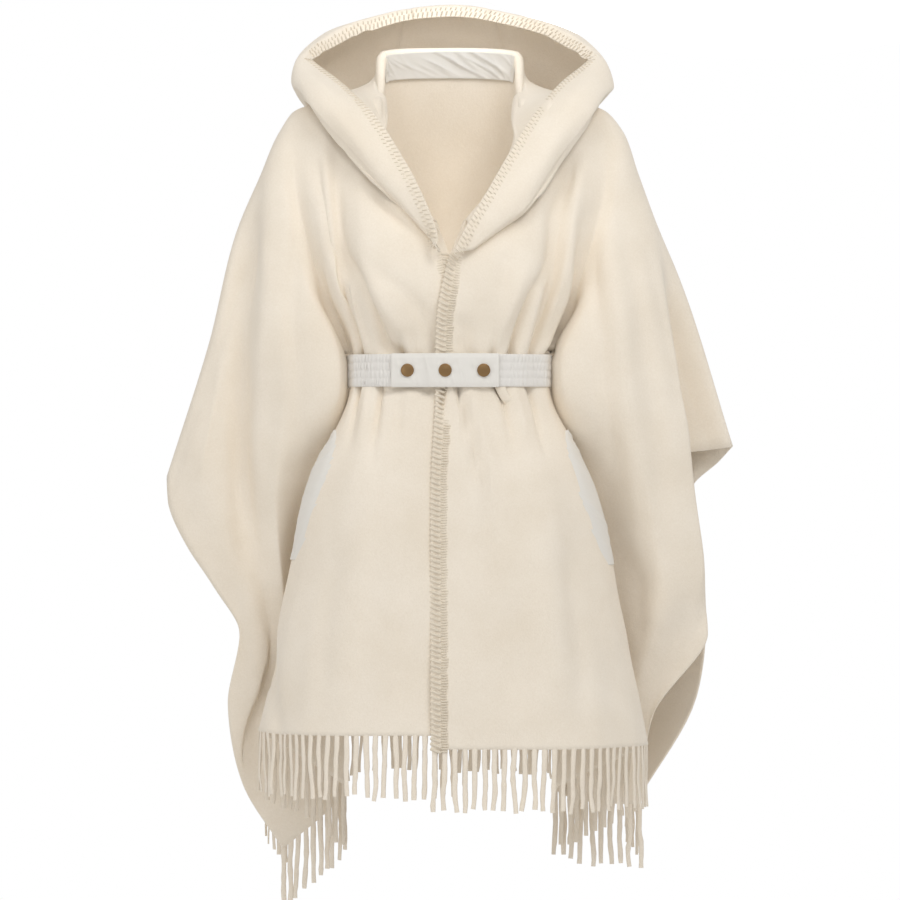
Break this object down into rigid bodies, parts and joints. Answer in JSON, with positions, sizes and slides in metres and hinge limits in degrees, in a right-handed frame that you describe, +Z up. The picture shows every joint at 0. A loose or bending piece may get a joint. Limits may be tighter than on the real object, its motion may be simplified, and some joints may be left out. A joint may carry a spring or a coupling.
{
  "type": "hooded cape",
  "caption": "Belted open-front hooded wool cape with wing sleeves, whip-stitched edges and a fringed hem, in the hollow form it has when worn.",
  "frame": {"origin": "middle of the base of the neck, between the tops of the two shoulders, where the worn cape is held up", "axes": "+Z is up; the wearer faces -Y; the wearer's left hand is at +X"},
  "size_m": [0.7061, 0.3617, 1.1354],
  "materials": {
    "ivory_wool": "matte felted wool",
    "white_nylon": "smooth nylon, slightly glossy",
    "belt_elastic": "ribbed elastic covered in nylon",
    "antique_brass": "aged"
  },
  "bodies": {
    "root": {"back_panel": "ivory_wool", "front_right": "ivory_wool", "front_left": "ivory_wool", "hood_right": "ivory_wool", "hood_centre": "ivory_wool", "hood_left": "ivory_wool", "fringe_front_right": "ivory_wool", "fringe_front_left": "ivory_wool", "fringe_back": "ivory_wool", "neck_facing": "white_nylon", "pocket_facing_right": "white_nylon", "pocket_facing_left": "white_nylon", "belt_tab": "white_nylon", "belt_band": "belt_elastic", "snap_1": "antique_brass", "snap_2": "antique_brass", "snap_3": "antique_brass"}
  },
  "joints": []
}
